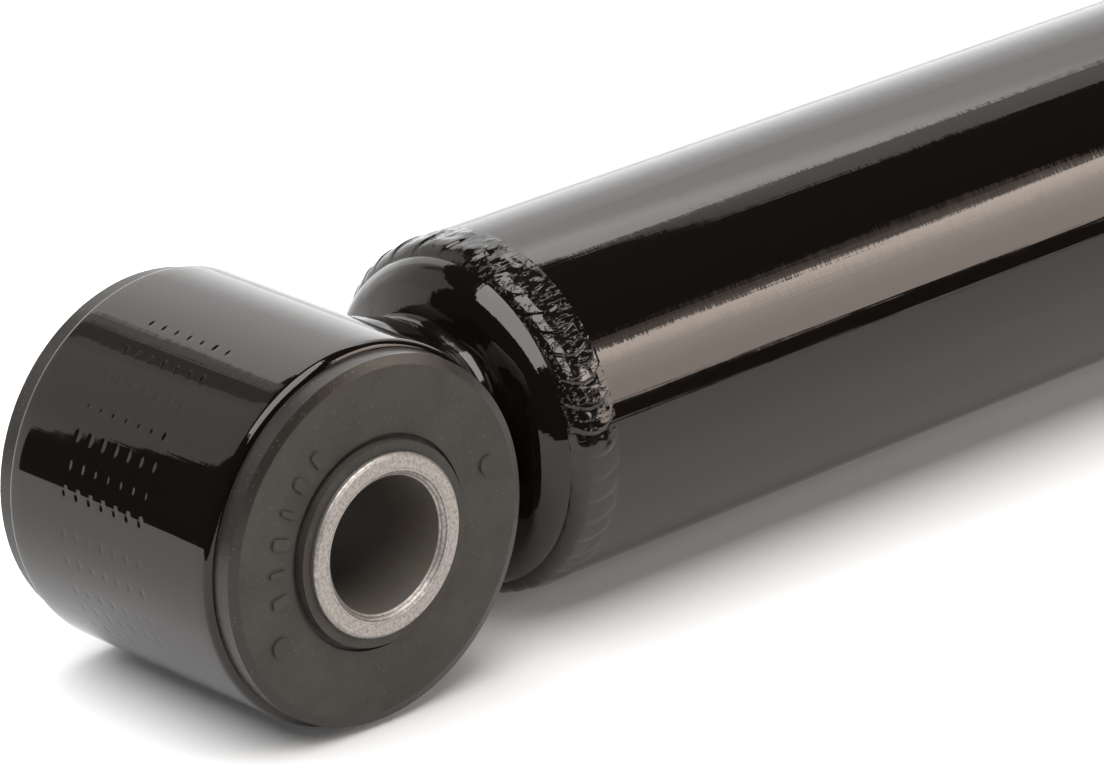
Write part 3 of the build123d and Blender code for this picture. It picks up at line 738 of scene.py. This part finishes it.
def make_floor():
    """The white table, resting against the eye ring and the dust cover's edge."""
    sheet = bmesh.new()
    bmesh.ops.create_grid(sheet, x_segments=1, y_segments=1, size=0.5)
    bmesh.ops.scale(sheet, verts=sheet.verts, vec=(TABLE_RIGHT - TABLE_LEFT, TABLE_FAR - TABLE_NEAR, 1))
    round_corners(sheet, TABLE_CORNER, 12)
    bmesh.ops.translate(
        sheet, verts=sheet.verts, vec=((TABLE_RIGHT + TABLE_LEFT) / 2, (TABLE_FAR + TABLE_NEAR) / 2, 0),
    )
    eye_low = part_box("lower_eye_ring")[0]
    cover_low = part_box("dust_cover")[0]
    slope = (cover_low.z - eye_low.z) / cover_low.x
    tilt = Matrix.Rotation(-math.atan(slope), 3, "Y")
    bmesh.ops.rotate(sheet, verts=sheet.verts, cent=(0, 0, 0), matrix=tilt)
    bmesh.ops.translate(sheet, verts=sheet.verts, vec=(0, 0, eye_low.z - TABLE_GAP))
    table = placed("table", sheet)
    finish = bpy.data.materials.new("white_table")
    tree = cleared(finish)
    paper = add(tree, "ShaderNodeBsdfDiffuse", Color=TABLE_WHITE)
    glow = add(tree, "ShaderNodeEmission", Color=(1, 1, 1, 1))
    rays = add(tree, "ShaderNodeLightPath").outputs
    both = add(tree, "ShaderNodeAddShader")
    output = add(tree, "ShaderNodeOutputMaterial")
    seen = calculated(tree, "MAXIMUM", rays["Is Camera Ray"], rays["Is Glossy Ray"])
    seen = calculated(tree, "MAXIMUM", seen, rays["Is Transmission Ray"])
    tree.links.new(calculated(tree, "MULTIPLY", seen, TABLE_GLOW), glow.inputs["Strength"])
    tree.links.new(paper.outputs[0], both.inputs[0])
    tree.links.new(glow.outputs[0], both.inputs[1])
    tree.links.new(both.outputs[0], output.inputs["Surface"])
    table.data.materials.append(finish)


def make_world(dim):
    """A dim room that the camera sees as plain white, also through clear things."""
    world = bpy.data.worlds.new("studio")
    bpy.context.scene.world = world
    tree = cleared(world)
    rays = add(tree, "ShaderNodeLightPath").outputs
    air = add(tree, "ShaderNodeBackground", Color=(1, 1, 1, 1))
    output = add(tree, "ShaderNodeOutputWorld")
    seen = calculated(tree, "MAXIMUM", rays["Is Camera Ray"], rays["Is Transmission Ray"])
    tree.links.new(between(tree, seen, 0.0, 1.0, dim, 1.0), air.inputs["Strength"])
    tree.links.new(air.outputs[0], output.inputs["Surface"])


def overhead(name, place, aim, width, depth, power):
    """A large soft lamp above the table."""
    lamp = bpy.data.lights.new(name, "AREA")
    lamp.shape = "RECTANGLE"
    lamp.size = width
    lamp.size_y = depth
    lamp.energy = power
    holder = bpy.data.objects.new(name, lamp)
    bpy.context.scene.collection.objects.link(holder)
    holder.location = place
    holder.rotation_euler = (Vector(aim) - Vector(place)).to_track_quat("-Z", "Y").to_euler()
    holder.visible_camera = False
    return holder


ROOM_LEVEL = 0.05
WARM = (1.0, 0.90, 0.82)
# The white walls beyond the table, each with its first and last azimuth and its levels.
BACK_WALLS = {
    "back_wall": (132, 174, ((-8, 2.1), (4, 2.0), (10, 1.95), (22, 1.65), (32, 1.95), (46, 2.3))),
    "back_wall_right": (107, 132, ((-8, 2.0), (5, 1.8), (30, 1.65), (39, 2.4), (44, 3.9), (49, 3.9))),
    "back_wall_end": (93, 107, ((10, 1.15), (47.5, 1.15), (49.5, 0.9))),
    "back_wall_left": (174, 180.5, ((-8, 1.6), (15, 1.5), (24, 1.1), (48, 0.95))),
    "back_wall_far_left": (191, 208, ((-8, 1.4), (12, 1.3), (30, 0.95), (48, 0.85))),
    "back_wall_gap": (180.5, 191, ((-8, 1.6), (12, 1.7), (20, 1.2), (31, 1.0), (36, 0.38), (48, 0.38))),
}
LEFT_LEVELS = ((-20, 1.5), (0, 1.5), (20, 1.05), (48, 1.0))
FRONT_LEVELS = (
    (3.0, 4.6), (10, 4.8), (14, 5.1), (20.5, 6.2), (25, 9.0), (28, 10.5), (29, 1.8), (34, 0.3),
)

make_floor()
make_world(ROOM_LEVEL)
for wall_name, (wall_start, wall_end, wall_levels) in BACK_WALLS.items():
    soft_panel(wall_name, wall_start, wall_end, wall_levels)
left_panel = soft_panel("left_panel", 191, 218, LEFT_LEVELS, reach=0.36, middle=(-0.025, -0.008, 0.014))
left_panel.visible_diffuse = False
soft_panel("front_box", 30, 56, FRONT_LEVELS, colour=WARM)
near_lamp = overhead("overhead_box", (-0.15, -0.57, 1.2), (-0.15, -0.57, 0.0), 1.2, 1.74, 40.0)
near_lamp.visible_diffuse = False
room_lamp = overhead("room_box", (-0.62, -0.12, 1.38), (-0.55, -0.12, 0.0), 1.9, 1.9, 51.0)
room_lamp.visible_glossy = False


# Camera: angles in degrees and distances in mm, as fitted to the photograph's lines.

CAMERA_TURN = -42.36
CAMERA_RISE = 21.83
CAMERA_ROLL = -1.81
CAMERA_AWAY = 841.53
CAMERA_ACROSS = -41.27
CAMERA_UPWARD = -14.70
SENSOR_WIDTH = 36
FOCAL_PIXELS = 5956.97
PHOTO_PIXELS = 1104


def make_camera():
    """The photograph's view, from the near left and above; its lens and width are known in pixels."""
    turn, rise, roll = (math.radians(a) for a in (CAMERA_TURN, CAMERA_RISE, CAMERA_ROLL))
    back = Vector((math.sin(turn) * math.cos(rise), -math.cos(turn) * math.cos(rise), math.sin(rise)))
    right = Vector((math.cos(turn), math.sin(turn), 0))
    up = back.cross(right)
    right_rolled = right * math.cos(roll) + up * math.sin(roll)
    up_rolled = up * math.cos(roll) - right * math.sin(roll)
    data = bpy.data.cameras.new("camera")
    data.sensor_width = SENSOR_WIDTH
    data.lens = SENSOR_WIDTH * FOCAL_PIXELS / PHOTO_PIXELS
    data.clip_start = 0.05
    data.clip_end = 50
    camera = bpy.data.objects.new("camera", data)
    bpy.context.scene.collection.objects.link(camera)
    place = back * (CAMERA_AWAY * MM) - right_rolled * (CAMERA_ACROSS * MM) - up_rolled * (CAMERA_UPWARD * MM)
    facing = Matrix((right_rolled, up_rolled, back)).transposed().to_4x4()
    camera.matrix_world = Matrix.Translation(place) @ facing
    bpy.context.scene.camera = camera


make_camera()
bpy.context.scene.view_settings.view_transform = "Standard"
